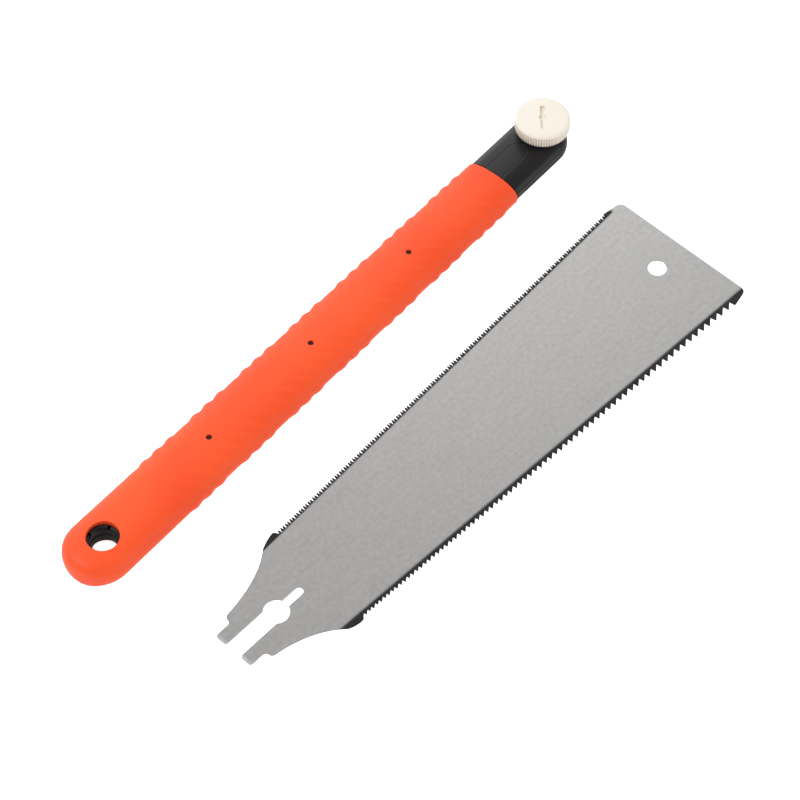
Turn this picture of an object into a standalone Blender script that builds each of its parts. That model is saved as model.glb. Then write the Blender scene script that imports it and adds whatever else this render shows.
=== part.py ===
"""Take-apart pull saw: a long straight handle with a clamping head, and a double-edged blade.

The handle lies along X with its butt at -X and its head at +X, crest up, on the plane z = 0.
The blade lies beside it on the -Y side, tang towards the butt, drawn out of the head.
Lengths below are in millimetres; MM turns them into Blender's metres.
"""

from math import asin, cos, pi, radians, sin, sqrt

import bmesh
import bpy
from mathutils import Matrix

MM = 0.001
GAP = 0.3  # clearance kept between neighbouring pieces
SIDES = (("near", -1), ("far", 1))  # near is the side where the blade lies

# Where things lie
HANDLE_Y = 58.2  # the handle's axis; the origin is the middle of the whole lay-out
BLADE_X, BLADE_Y, BLADE_Z = -127.2, -21.2, 0.25  # centre of the tang's round hole, underside
BLADE_TURN = radians(-2.65)  # the blade lies slightly off parallel

# Grip sleeve: flat underneath, its crest falling gently from butt to head
BUTT_X = -158.4  # centre of the round butt
BUTT_R = 17.1
SLEEVE_FRONT = 123.8
SLEEVE_TOPS = ((-176.0, 17.3), (SLEEVE_FRONT, 14.8))
SLEEVE_WIDTHS = ((BUTT_X, 17.1), (-114.0, 16.9), (6.0, 16.4), (66.0, 16.1), (SLEEVE_FRONT, 15.7))
SECTION_POWER = 2.3  # 2 is an ellipse, more is squarer
SECTION_SINK = 0.4  # how far the section's underside is cut away by the rest plane
SLEEVE_SIDES = 24
FRONT_EDGE = ((SLEEVE_FRONT - 0.6, 15.6, 1.0), (SLEEVE_FRONT, 15.1, 0.93))  # x, width, share
RIB_GROUPS = [-102.9 + 34.3 * i for i in range(7)]
RIB_PITCH = 8.4
RIB_HEIGHT = 0.8
HANG_X = -155.2
HANG_HOLE_R = 6.8
HANG_LIP_R, HANG_LIP_DEPTH = 8.4, 1.8
EYE_R, EYE_BORE = 10.8, 6.3
EYE_BOTTOM, EYE_TOP = 3.0, 14.0
PIN_STATIONS = {"rear": -84.3, "middle": -13.2, "front": 58.5}
PIN_WINDOW_R = 1.35

# Core: two black half shells that meet at the blade plane
SPLIT_Z = 6.0
SPLIT_ENDS, SPLIT_HALF_WIDTH = (-160.0, 190.0), 20.0  # the cutting blocks reach past the core
CORE_REAR = -141.0
CORE_WALL = 2.4  # sleeve thickness over and under the core
CORE_HALF_WIDTHS = ((CORE_REAR, 13.8), (SLEEVE_FRONT, 12.6))
CORE_SIDES = 24
HEAD_STEP = SLEEVE_FRONT + GAP
HEAD_HALF_WIDTH = 15.0
HEAD_MID_Z, HEAD_HALF_HEIGHT = 7.15, 6.95
NOSE_X = 158.4  # where the nose's half circle starts
HEAD_POWER = 2.4
NOSE_DIP = 1.6
PIN_R, PIN_FOOT, PIN_HEAD = 2.0, 3.4, 11.0
POST_TURN = radians(10)  # keeps the corners of the pin holes off the core's own edges
SCREW_X, SCREW_Y, SCREW_R = 112.0, 5.5, 1.5
SCREW_HEAD_R, SCREW_BOTTOM, SCREW_LEDGE, SCREW_TOP = 2.6, 3.5, 4.3, 10.4

# Blade clamp, drawn slackened: knob and shoulder raised clear of the blade plane
CLAMP_X = 161.7
SLOT_BACK = 129.5
SLOT_TOP = 7.2
SHOULDER_R = 6.0
SHOULDER_BOTTOM = 7.4
STUD_R = 3.8
STUD_BOTTOM = 2.4
NUT_FLATS = 13.0
NUT_BOTTOM, NUT_TOP = 0.9, 4.3
STOP_X, STOP_Y, STOP_R, STOP_FOOT = 142.0, 12.4, 0.9, 3.6
LINER_TOP = 8.0
RIVET_X, RIVET_Y, RIVET_R, RIVET_TOP = 143.0, 7.0, 1.1, 11.0
SPINE_BOTTOM = 4.6
SPINE_HALF_WIDTH = 9.8
SPINE_REAR, SPINE_FRONT = -128.0, 168.4

# Knob
KNOB_R = 13.9
KNOB_BOTTOM, KNOB_TOP = 16.0, 23.1
KNOB_EDGE = 1.3
KNOB_SLOT = (15.0, 2.5, 1.0)
KNOB_SLOT_TURN = radians(40.4)
WASHER_R, WASHER_THICK, WAVE_THICK = 10.0, 0.8, 0.6
WASHER_BOTTOM = KNOB_BOTTOM - GAP
WAVE_BOTTOM = WASHER_BOTTOM + WASHER_THICK + GAP
SEAT_Z = WAVE_BOTTOM + WAVE_THICK + GAP  # roof of the knob's washer room
HEX_FLATS, HEX_HIGH = 15.0, 2.8

# Blade, in its own frame: X from the tang's round hole to the tip, +Y the fine edge
BLADE_THICK = 0.7
BLADE_END = 284.6
KEY_R = 6.2
KEY_SLOT = 4.45
KEY_TAIL = 2.1
KEY_TAIL_END = 16.7
PRONG_END = -27.7
PRONG_EDGE = 11.1
TIP_HOLE_X, TIP_HOLE_R = 265.7, 4.7
EDGE_SLOPE = 0.0457
FINE_START, FINE_STOP = 31.3, 276.0
FINE_TIP_Y = 30.0
FINE_PITCH, FINE_DEPTH = 1.57, 2.3
COARSE_START, COARSE_STOP = 26.8, 274.6
COARSE_TIP_Y = 30.8
COARSE_PITCH, COARSE_GROWTH = 2.35, 0.0092
COARSE_DEPTH = 0.68  # of the pitch


# ---------------------------------------------------------------- scene helpers

def clear_scene():
    """Remove every object, so that the model starts from nothing."""
    for old in list(bpy.data.objects):
        bpy.data.objects.remove(old, do_unlink=True)


def new_collection(name):
    group = bpy.data.collections.new(name)
    bpy.context.scene.collection.children.link(group)
    return group


def new_material(name, colour, roughness, metallic=0.0):
    """A plain Principled material."""
    made = bpy.data.materials.new(name)
    made.use_nodes = True
    shader = made.node_tree.nodes["Principled BSDF"]
    shader.inputs["Base Color"].default_value = (*colour, 1.0)
    shader.inputs["Roughness"].default_value = roughness
    shader.inputs["Metallic"].default_value = metallic
    made.diffuse_color = (*colour, 1.0)
    return made


def new_empty(name, location):
    empty = bpy.data.objects.new(name, None)
    empty.location = [v * MM for v in location]
    PIECES.objects.link(empty)
    return empty


def add_piece(name, mesh, material, parent, location=(0, 0, 0), turn=0.0):
    """Put a mesh into the model as one named piece."""
    piece = bpy.data.objects.new(name, mesh)
    piece.location = [v * MM for v in location]
    piece.rotation_euler[2] = turn
    piece.parent = parent
    mesh.materials.clear()
    mesh.materials.append(material)
    mesh.shade_smooth()
    mesh.set_sharp_from_angle(angle=radians(35))
    PIECES.objects.link(piece)
    return piece


def add_cutter(name, mesh, parent, location=(0, 0, 0), turn=0.0):
    """A hidden shape that only cuts others."""
    cutter = bpy.data.objects.new(name, mesh)
    cutter.location = [v * MM for v in location]
    cutter.rotation_euler[2] = turn
    cutter.parent = parent
    cutter.hide_render = True
    cutter.display_type = "WIRE"
    CUTTERS.objects.link(cutter)
    return cutter


def cut(piece, *cutters, operation="DIFFERENCE"):
    for cutter in cutters:
        step = piece.modifiers.new(cutter.name, "BOOLEAN")
        step.operation = operation
        step.object = cutter
        step.solver = "EXACT"


# ---------------------------------------------------------------- mesh helpers

def mesh_from(name, build):
    """Run build(bm) on an empty bmesh and keep the result, in metres."""
    bm = bmesh.new()
    build(bm)
    bmesh.ops.scale(bm, vec=(MM, MM, MM), verts=bm.verts)
    mesh = bpy.data.meshes.new(name)
    bm.to_mesh(mesh)
    bm.free()
    return mesh


def box(name, low, high):
    """A block between two corners."""
    size = [h - l for l, h in zip(low, high)]
    middle = [(h + l) / 2 for l, h in zip(low, high)]
    place = Matrix.Translation(middle) @ Matrix.Diagonal((*size, 1.0))
    return mesh_from(name, lambda bm: bmesh.ops.create_cube(bm, size=1.0, matrix=place))


def prism(name, radius, bottom, top, sides=32):
    """An upright cylinder, or a hexagon with sides=6."""
    place = Matrix.Translation((0, 0, (bottom + top) / 2))

    def build(bm):
        bmesh.ops.create_cone(
            bm, cap_ends=True, segments=sides, radius1=radius, radius2=radius,
            depth=top - bottom, matrix=place)

    return mesh_from(name, build)


def turned(name, profile, steps=32):
    """Turn a profile of (radius, z) points, top to bottom, about the local Z axis."""
    closed = all(r > 0 for r, _ in profile)

    def build(bm):
        points = [bm.verts.new((r, 0, z)) for r, z in profile]
        pairs = list(zip(points, points[1:]))
        if closed:
            pairs.append((points[-1], points[0]))
        for pair in pairs:
            bm.edges.new(pair)

    draft = bpy.data.objects.new(name, mesh_from(name, build))
    CUTTERS.objects.link(draft)
    screw = draft.modifiers.new("turn", "SCREW")
    screw.steps = steps
    screw.render_steps = steps
    screw.use_merge_vertices = True
    screw.merge_threshold = 0.00001
    return as_mesh(draft)


def as_mesh(draft):
    """Turn a draft object's evaluated shape into a plain welded mesh, facing outwards."""
    bpy.context.view_layer.update()
    ready = draft.evaluated_get(bpy.context.evaluated_depsgraph_get())
    mesh = bpy.data.meshes.new_from_object(ready)
    bm = bmesh.new()
    bm.from_mesh(mesh)
    bmesh.ops.remove_doubles(bm, verts=bm.verts, dist=0.000001)
    bmesh.ops.recalc_face_normals(bm, faces=bm.faces)
    bm.to_mesh(mesh)
    bm.free()
    bpy.data.objects.remove(draft, do_unlink=True)
    return mesh


def plate(name, outline, bottom, top, holes=()):
    """A flat plate: a filled 2D curve with its holes, given half its thickness each way."""
    curve = bpy.data.curves.new(name, "CURVE")
    curve.dimensions = "2D"
    curve.fill_mode = "BOTH"
    curve.extrude = (top - bottom) / 2 * MM
    for loop in (outline, *holes):
        spline = curve.splines.new("POLY")
        spline.points.add(len(loop) - 1)
        for point, (x, y) in zip(spline.points, loop):
            point.co = (x * MM, y * MM, 0, 1)
        spline.use_cyclic_u = True
    draft = bpy.data.objects.new(name, curve)
    CUTTERS.objects.link(draft)
    mesh = as_mesh(draft)
    mesh.transform(Matrix.Translation((0, 0, (bottom + top) / 2 * MM)))
    return mesh


def loft(name, rings):
    """Join rings of equal length into one closed skin, with a flat cap on each end."""
    def build(bm):
        rows = [[bm.verts.new(point) for point in ring] for ring in rings]
        for near, far in zip(rows, rows[1:]):
            for i in range(len(near)):
                j = (i + 1) % len(near)
                bm.faces.new((near[i], near[j], far[j], far[i]))
        bm.faces.new(reversed(rows[0]))
        bm.faces.new(rows[-1])
        bmesh.ops.recalc_face_normals(bm, faces=bm.faces)
        bmesh.ops.triangulate(bm, faces=bm.faces)

    return mesh_from(name, build)


def arc(centre, radius, start, stop, steps):
    """Points on an arc, angles in degrees."""
    turns = [radians(start + (stop - start) * i / steps) for i in range(steps + 1)]
    return [(centre[0] + radius * cos(a), centre[1] + radius * sin(a)) for a in turns]


def circle(centre, radius, steps=24):
    return arc(centre, radius, 0, 360, steps)[:-1]


def bezier(start, pull, stop, steps):
    """A soft curve from start to stop that leans towards pull, without its first point."""
    shares = [i / steps for i in range(1, steps + 1)]
    return [tuple((1 - t) ** 2 * a + 2 * t * (1 - t) * b + t * t * c
                  for a, b, c in zip(start, pull, stop)) for t in shares]


def between(table, x):
    """Read a value off a short table of (station, value) pairs."""
    for (x0, v0), (x1, v1) in zip(table, table[1:]):
        if x <= x1:
            share = max(0.0, (x - x0) / (x1 - x0))
            return v0 + (v1 - v0) * share
    return table[-1][1]


def rounded(value, power):
    """Signed root that squares up a circle's sine or cosine."""
    return (abs(value) ** (2 / power)) * (1 if value >= 0 else -1)


# ---------------------------------------------------------------- grip sleeve

def rib_stations():
    """Crests and valleys of the side ribs, three ribs to a group: (x, share of height)."""
    half = RIB_PITCH / 2
    return [(group + half * step, 1.0 if step % 2 == 0 else 0.0)
            for group in RIB_GROUPS for step in range(-3, 4)]


def sleeve_ring(x, half_width, share=1.0, rib=0.0):
    """One section of the sleeve, flat where it rests; share lowers it towards the ends."""
    top = between(SLEEVE_TOPS, x)
    middle = (top - SECTION_SINK) / 2
    ring = []
    for i in range(SLEEVE_SIDES):
        a = 2 * pi * i / SLEEVE_SIDES
        side = rounded(cos(a), SECTION_POWER)
        y = side * (half_width + RIB_HEIGHT * rib * side ** 4)
        z = middle + (top * share + SECTION_SINK) / 2 * rounded(sin(a), SECTION_POWER)
        ring.append((x, y, max(z, 0.0)))
    return ring


def sleeve_shape():
    """Outer skin of the sleeve: pebble-round butt, ribbed flanks, square front."""
    rings = []
    for degrees in (86, 76, 64, 50, 34, 17):
        a = radians(degrees)
        share = (1 - sin(a) ** 8) ** 0.5
        rings.append(sleeve_ring(BUTT_X - BUTT_R * sin(a), BUTT_R * cos(a), share))
    rings.append(sleeve_ring(BUTT_X, BUTT_R))
    rings.append(sleeve_ring(-130.0, between(SLEEVE_WIDTHS, -130.0)))
    for x, rib in rib_stations():
        rings.append(sleeve_ring(x, between(SLEEVE_WIDTHS, x), 1.0, rib))
    rings += [sleeve_ring(x, half_width, share) for x, half_width, share in FRONT_EDGE]
    return loft("grip_sleeve", rings)


def core_ring(x, grow=0.0):
    """A section of the core's bar, the same distance inside the sleeve everywhere."""
    top = between(SLEEVE_TOPS, x)
    wide = between(CORE_HALF_WIDTHS, x) + grow
    return full_ring(x, wide, top / 2 - CORE_WALL + grow, top / 2, SECTION_POWER)


def core_cavity():
    """The room inside the sleeve for the core."""
    stations = (CORE_REAR - GAP, -40.0, 40.0, SLEEVE_FRONT + 5)
    return loft("core_cavity", [core_ring(x, GAP) for x in stations])


def full_ring(x, half_width, half_height, middle, power):
    """A rounded section with no corner at mid-height, where the core is split."""
    turns = [2 * pi * (i + 0.5) / CORE_SIDES for i in range(CORE_SIDES)]
    return [(x, half_width * rounded(cos(a), power),
             middle + half_height * rounded(sin(a), power)) for a in turns]


def add_sleeve():
    sleeve = add_piece("grip_sleeve", sleeve_shape(), ORANGE, HANDLE)
    cavity = add_cutter("core_cavity", core_cavity(), HANDLE)
    eye = add_cutter(
        "eye_room", prism("eye_room", EYE_R + GAP, EYE_BOTTOM - GAP, EYE_TOP + GAP), HANDLE,
        (HANG_X, 0, 0))
    lip = HANG_LIP_DEPTH
    top = between(SLEEVE_TOPS, HANG_X)
    bore = turned("hang_bore", [
        (0, top + 2), (HANG_LIP_R + 2, top + 2), (HANG_LIP_R, top), (HANG_HOLE_R, top - lip),
        (HANG_HOLE_R, lip), (HANG_LIP_R, 0), (HANG_LIP_R + 2, -2), (0, -2)], 32)
    hang = add_cutter("hang_bore", bore, HANDLE, (HANG_X, 0, 0))
    cut(sleeve, cavity, eye, hang)
    for where, x in PIN_STATIONS.items():
        window = prism("window_" + where, PIN_WINDOW_R, SPLIT_Z, top + 2, 16)
        cut(sleeve, add_cutter("window_" + where, window, HANDLE, (x, 0, 0)))


def add_hang_eye():
    """Hard black eye that lines the hang hole inside the sleeve."""
    ring = turned("hang_eye", [
        (EYE_BORE, EYE_TOP), (EYE_R, EYE_TOP), (EYE_R, EYE_BOTTOM), (EYE_BORE, EYE_BOTTOM)], 32)
    add_piece("hang_eye", ring, BLACK, HANDLE, (HANG_X, 0, 0))


# ---------------------------------------------------------------- core halves

def core_shape(name):
    """The core before it is split: a slim bar that steps up to the head and its round nose."""
    rings = [core_ring(x) for x in (CORE_REAR, -40.0, 40.0, HEAD_STEP)]
    rings.append(head_ring(HEAD_STEP, 1.0, 0.0))
    for degrees in (0, 15, 30, 45, 58, 70, 80, 87):
        a = radians(degrees)
        rings.append(head_ring(NOSE_X + HEAD_HALF_WIDTH * sin(a), cos(a), 1 - cos(a)))
    return loft(name, rings)


def head_ring(x, width_share, dip):
    """One section of the head; dip lowers its crest towards the nose."""
    return full_ring(x, HEAD_HALF_WIDTH * width_share, HEAD_HALF_HEIGHT - NOSE_DIP * dip,
                     HEAD_MID_Z, HEAD_POWER)


def spine_outline(grow=0.0):
    """Outline of the steel spine, round at both ends."""
    wide = SPINE_HALF_WIDTH + grow
    front = SPINE_FRONT - SPINE_HALF_WIDTH
    rear = SPINE_REAR + SPINE_HALF_WIDTH
    return arc((front, 0), wide, -90, 90, 12) + arc((rear, 0), wide, 90, 270, 12)


def liner_outline(grow=0.0):
    """Outline of the upper jaw's steel liner."""
    wide = SPINE_HALF_WIDTH + grow
    front = SPINE_FRONT - SPINE_HALF_WIDTH
    rear = SLOT_BACK + 3 - grow
    return arc((front, 0), wide, -90, 90, 12) + [(rear, wide), (rear, -wide)]


def post_cutters(tag, radius, bottom, top, sides=16):
    """Holes for the three core pins."""
    made = []
    for where, x in PIN_STATIONS.items():
        name = f"{tag}_{where}"
        post = prism(name, radius, bottom, top, sides)
        made.append(add_cutter(name, post, HANDLE, (x, 0, 0), POST_TURN))
    return made


def paired_cutters(tag, mesh, x, y):
    """The same hole on both sides of the handle."""
    return [add_cutter(f"{tag}_{side}", mesh, HANDLE, (x, way * y, 0)) for side, way in SIDES]


def add_core():
    """Both halves with everything that is let into them."""
    upper = add_piece("core_upper", core_shape("core_upper"), BLACK, HANDLE)
    lower = add_piece("core_lower", core_shape("core_lower"), BLACK, HANDLE)
    rear, front = SPLIT_ENDS
    wide = SPLIT_HALF_WIDTH
    below = box("below_split", (rear, -wide, -5), (front, wide, SPLIT_Z + GAP))
    above = box("above_split", (rear, -wide, SPLIT_Z), (front, wide, 25))
    cut(upper, add_cutter("below_split", below, HANDLE))
    cut(lower, add_cutter("above_split", above, HANDLE))

    slot = add_cutter("blade_slot", box(
        "blade_slot", (SLOT_BACK, -wide, SPLIT_Z - 1), (front, wide, SLOT_TOP)), HANDLE)
    liner_room = add_cutter("liner_room", plate(
        "liner_room", liner_outline(GAP), SLOT_TOP - 0.5, LINER_TOP + GAP), HANDLE)
    shoulder_hole = add_cutter("shoulder_hole", prism(
        "shoulder_hole", SHOULDER_R + GAP, SPLIT_Z, 20, 32), HANDLE, (CLAMP_X, 0, 0))
    rivet_hole = prism("rivet_hole", RIVET_R + GAP, SLOT_TOP, RIVET_TOP + GAP, 12)
    screw_hole = prism("screw_hole", SCREW_R + GAP, SPLIT_Z - 1, SCREW_TOP + GAP, 12)
    cut(upper, slot, liner_room, shoulder_hole)
    cut(upper, *post_cutters("pin_top", PIN_R + GAP, SPLIT_Z - 1, PIN_HEAD + GAP))
    cut(upper, *paired_cutters("rivet_hole", rivet_hole, RIVET_X, RIVET_Y))
    cut(upper, *paired_cutters("screw_hole", screw_hole, SCREW_X, SCREW_Y))

    spine_room = add_cutter("spine_room", plate(
        "spine_room", spine_outline(GAP), SPINE_BOTTOM - GAP, SPLIT_Z + 1), HANDLE)
    nut_room = add_cutter("nut_room", prism(
        "nut_room", (NUT_FLATS + 2 * GAP) / sqrt(3), 0, SPINE_BOTTOM, 6), HANDLE, (CLAMP_X, 0, 0))
    stop_hole = prism("stop_hole", STOP_R + GAP, STOP_FOOT - GAP, SPLIT_Z + 1, 12)
    sunk = prism("sunk_hole", SCREW_HEAD_R + GAP, 0.5, SPINE_BOTTOM, 16)
    cut(lower, spine_room, nut_room)
    cut(lower, *post_cutters("pin_foot", PIN_R + GAP, PIN_FOOT - GAP, SPLIT_Z + 1))
    cut(lower, *paired_cutters("stop_hole", stop_hole, STOP_X, STOP_Y))
    cut(lower, *paired_cutters("sunk_hole", sunk, SCREW_X, SCREW_Y))


def add_core_fittings():
    """The spine, its pins and screws, and the stops that meet the tang's shoulders."""
    holes = [circle((x, 0), PIN_R + GAP, 16) for x in PIN_STATIONS.values()]
    holes += [circle((SCREW_X, way * SCREW_Y), SCREW_R + GAP, 12) for _, way in SIDES]
    holes.append(circle((CLAMP_X, 0), SHOULDER_R + GAP, 32))
    spine = plate("spine_plate", spine_outline(), SPINE_BOTTOM, SPLIT_Z, holes)
    add_piece("spine_plate", spine, STEEL, HANDLE)

    for where, x in PIN_STATIONS.items():
        name = "core_pin_" + where
        add_piece(name, prism(name, PIN_R, PIN_FOOT, PIN_HEAD, 16), STEEL, HANDLE, (x, 0, 0))
    for side, way in SIDES:
        name = "head_screw_" + side
        screw = turned(name, [
            (0, SCREW_TOP), (SCREW_R, SCREW_TOP), (SCREW_R, SCREW_LEDGE),
            (SCREW_HEAD_R, SCREW_LEDGE), (SCREW_HEAD_R, SCREW_BOTTOM), (0, SCREW_BOTTOM)], 16)
        add_piece(name, screw, STEEL, HANDLE, (SCREW_X, way * SCREW_Y, 0))
        name = "stop_pin_" + side
        stop = prism(name, STOP_R, STOP_FOOT, SLOT_TOP - GAP, 12)
        add_piece(name, stop, STEEL, HANDLE, (STOP_X, way * STOP_Y, 0))

    rivet_seats = [circle((RIVET_X, way * RIVET_Y), RIVET_R + GAP, 12) for _, way in SIDES]
    liner_holes = [circle((CLAMP_X, 0), SHOULDER_R + GAP, 32), *rivet_seats]
    liner = plate("jaw_liner", liner_outline(), SLOT_TOP, LINER_TOP, liner_holes)
    add_piece("jaw_liner", liner, STEEL, HANDLE)
    for side, way in SIDES:
        name = "liner_rivet_" + side
        rivet = prism(name, RIVET_R, SLOT_TOP, RIVET_TOP, 12)
        add_piece(name, rivet, STEEL, HANDLE, (RIVET_X, way * RIVET_Y, 0))

    nut = add_piece("clamp_nut", prism(
        "clamp_nut", NUT_FLATS / sqrt(3), NUT_BOTTOM, NUT_TOP, 6), STEEL, HANDLE, (CLAMP_X, 0, 0))
    cut(nut, add_cutter("nut_bore", prism(
        "nut_bore", STUD_R + GAP, 0, SPLIT_Z, 24), HANDLE, (CLAMP_X, 0, 0)))


# ---------------------------------------------------------------- clamp knob and screw

def ring_washer(name, bottom, thick):
    """A flat ring that slips over the shoulder."""
    bore = SHOULDER_R + GAP
    top = bottom + thick
    return turned(name, [(bore, top), (WASHER_R, top), (WASHER_R, bottom), (bore, bottom)], 32)


def add_clamp():
    """Everything that rises and turns on the clamp's axis."""
    axis = new_empty("clamp_axis", (CLAMP_X, HANDLE_Y, 0))
    add_piece("thrust_washer", ring_washer(
        "thrust_washer", WASHER_BOTTOM, WASHER_THICK), STEEL, axis)
    add_piece("wave_washer", ring_washer("wave_washer", WAVE_BOTTOM, WAVE_THICK), STEEL, axis)

    hex_bottom = SEAT_Z + GAP
    stem = turned("clamp_screw", [
        (0, hex_bottom + 1), (SHOULDER_R, hex_bottom + 1), (SHOULDER_R, SHOULDER_BOTTOM),
        (STUD_R, SHOULDER_BOTTOM), (STUD_R, STUD_BOTTOM + 0.6), (STUD_R - 0.6, STUD_BOTTOM),
        (0, STUD_BOTTOM)], 32)
    screw = add_piece("clamp_screw", stem, STEEL, axis)
    hexagon = prism("hex_head", HEX_FLATS / sqrt(3), hex_bottom, hex_bottom + HEX_HIGH, 6)
    cut(screw, add_cutter("hex_head", hexagon, axis), operation="UNION")

    edge = KNOB_EDGE
    body = turned("clamp_knob", [
        (0, KNOB_TOP), (KNOB_R - edge, KNOB_TOP), (KNOB_R - 0.4, KNOB_TOP - 0.5),
        (KNOB_R, KNOB_TOP - edge), (KNOB_R, KNOB_BOTTOM + 0.3), (KNOB_R - 0.3, KNOB_BOTTOM),
        (0, KNOB_BOTTOM)], 64)
    knob = add_piece("clamp_knob", body, IVORY, axis)
    long, wide, deep = KNOB_SLOT
    slot = box("coin_slot", (-long / 2, -wide / 2, KNOB_TOP - deep), (long / 2, wide / 2, 30))
    washer_room = prism("washer_room", WASHER_R + GAP, KNOB_BOTTOM - 1, SEAT_Z, 32)
    hex_room = prism("hex_room", (HEX_FLATS + 2 * GAP) / sqrt(3), KNOB_BOTTOM - 1,
                     hex_bottom + HEX_HIGH + GAP, 6)
    cut(knob, add_cutter("washer_room", washer_room, axis), add_cutter("hex_room", hex_room, axis),
        add_cutter("coin_slot", slot, axis, turn=KNOB_SLOT_TURN))


# ---------------------------------------------------------------- blade

def edge_y(start_x, start_y, x):
    """Both toothed edges spread evenly towards the tip."""
    return start_y + (x - start_x) * EDGE_SLOPE


def fine_edge():
    """Crosscut teeth, tang to tip: slim spikes at an even pitch."""
    count = int((FINE_STOP - FINE_START) / FINE_PITCH)
    points = []
    for i in range(count):
        x = FINE_START + i * FINE_PITCH
        tip = edge_y(FINE_START, FINE_TIP_Y, x)
        points.append((x - 0.55 * FINE_PITCH, tip - FINE_DEPTH))
        points.append((x, tip))
    return points


def coarse_edge():
    """Rip teeth, tang to tip: hooked towards the tang, growing along the blade."""
    points = []
    x = COARSE_START
    while x < COARSE_STOP:
        pitch = COARSE_PITCH + (x - COARSE_START) * COARSE_GROWTH
        tip = edge_y(COARSE_START, COARSE_TIP_Y, x)
        points.append((x - 0.12 * pitch, -tip + COARSE_DEPTH * pitch))
        points.append((x, -tip))
        x += pitch
    return points


def prong(way):
    """One prong of the tang, from its shoulder round to the keyhole, on side way = +1 or -1."""
    notch = arc((-20.0, 13.1), 2.0, 15, -90, 5)
    outer_corner = arc((PRONG_END + 1.5, PRONG_EDGE - 1.5), 1.5, 90, 180, 4)
    inner_corner = arc((PRONG_END + 1.5, KEY_SLOT + 1.5), 1.5, 180, 270, 4)
    mouth = degrees_on_circle(KEY_SLOT, KEY_R)
    tail = degrees_on_circle(KEY_TAIL, KEY_R)
    round_hole = arc((0, 0), KEY_R, 180 - mouth, tail, 8)
    end = arc((KEY_TAIL_END - KEY_TAIL, 0), KEY_TAIL, 90, 0, 4)
    half = [(-16.3, 15.1), (-17.2, 14.7), *notch, *outer_corner, *inner_corner, *round_hole, *end]
    return [(x, way * y) for x, y in half]


def degrees_on_circle(height, radius):
    return asin(height / radius) * 180 / pi


def blade_outline():
    """The whole outline, anticlockwise from the tip of the keyhole."""
    fine_shoulder = bezier((-16.3, 15.1), (7.0, 17.6), (19.5, 27.7), 8)
    fine_heel = [*fine_shoulder, (26.3, 30.2), (28.2, 30.5), (29.4, 29.8)]
    coarse_shoulder = bezier((-16.3, -15.1), (4.0, -18.0), (15.8, -29.8), 8)
    coarse_heel = [*coarse_shoulder, (21.5, -31.5), (24.2, -31.4), (24.9, -30.6)]
    fine_corner = [(282.4, 39.7), (284.0, 38.7), (BLADE_END, 36.9)]
    coarse_corner = [(BLADE_END, -37.8), (283.9, -39.5), (282.2, -40.4)]
    first, *rest = prong(1)[::-1]
    fine_side = [first, *rest, *fine_heel, *fine_edge(), *fine_corner]
    coarse_side = [*prong(-1)[::-1][1:], *coarse_heel, *coarse_edge(), *coarse_corner[::-1]]
    return fine_side + coarse_side[::-1]


def add_blade():
    tip_hole = circle((TIP_HOLE_X, 0), TIP_HOLE_R, 24)
    blade = plate("blade", blade_outline(), 0, BLADE_THICK, [tip_hole])
    add_piece("blade", blade, STEEL, None, (BLADE_X, BLADE_Y, BLADE_Z), BLADE_TURN)


clear_scene()
PIECES = new_collection("pull_saw")
CUTTERS = new_collection("cutters")
ORANGE = new_material("orange_rubber", (0.95, 0.13, 0.035), 0.5)
BLACK = new_material("black_nylon", (0.035, 0.032, 0.036), 0.38)
IVORY = new_material("ivory_nylon", (0.86, 0.80, 0.70), 0.45)
STEEL = new_material("steel", (0.42, 0.42, 0.43), 0.34, 1.0)
HANDLE = new_empty("handle_axis", (0, HANDLE_Y, 0))
add_sleeve()
add_hang_eye()
add_core()
add_core_fittings()
add_clamp()
add_blade()
bpy.context.view_layer.update()
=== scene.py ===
"""Finished look of the take-apart pull saw: rubber-gripped handle, nylon head and knob, steel blade.

Sizes are in millimetres and MM turns them into metres. X runs from the handle's butt to its
head, Z is up, and the handle's axis lies at y = HANDLE_Y.
"""

from math import asin, cos, degrees, pi, radians, sin, sqrt

import bmesh
import bpy
from mathutils import Matrix, Vector


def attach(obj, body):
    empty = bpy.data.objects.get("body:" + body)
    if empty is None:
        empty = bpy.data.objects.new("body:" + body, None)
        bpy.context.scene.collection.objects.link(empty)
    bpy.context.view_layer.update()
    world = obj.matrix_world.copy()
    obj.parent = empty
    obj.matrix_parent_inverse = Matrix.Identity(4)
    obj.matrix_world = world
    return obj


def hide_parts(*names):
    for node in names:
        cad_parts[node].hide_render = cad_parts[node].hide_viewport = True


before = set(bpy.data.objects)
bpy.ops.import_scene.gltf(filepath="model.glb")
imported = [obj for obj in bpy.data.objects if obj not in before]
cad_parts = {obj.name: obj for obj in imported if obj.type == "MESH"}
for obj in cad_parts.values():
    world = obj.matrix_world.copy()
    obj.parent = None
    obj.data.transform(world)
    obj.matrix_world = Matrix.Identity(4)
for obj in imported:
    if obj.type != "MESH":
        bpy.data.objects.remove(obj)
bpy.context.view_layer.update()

MM = 0.001
GAP = 0.3  # clearance between neighbouring pieces

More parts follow.
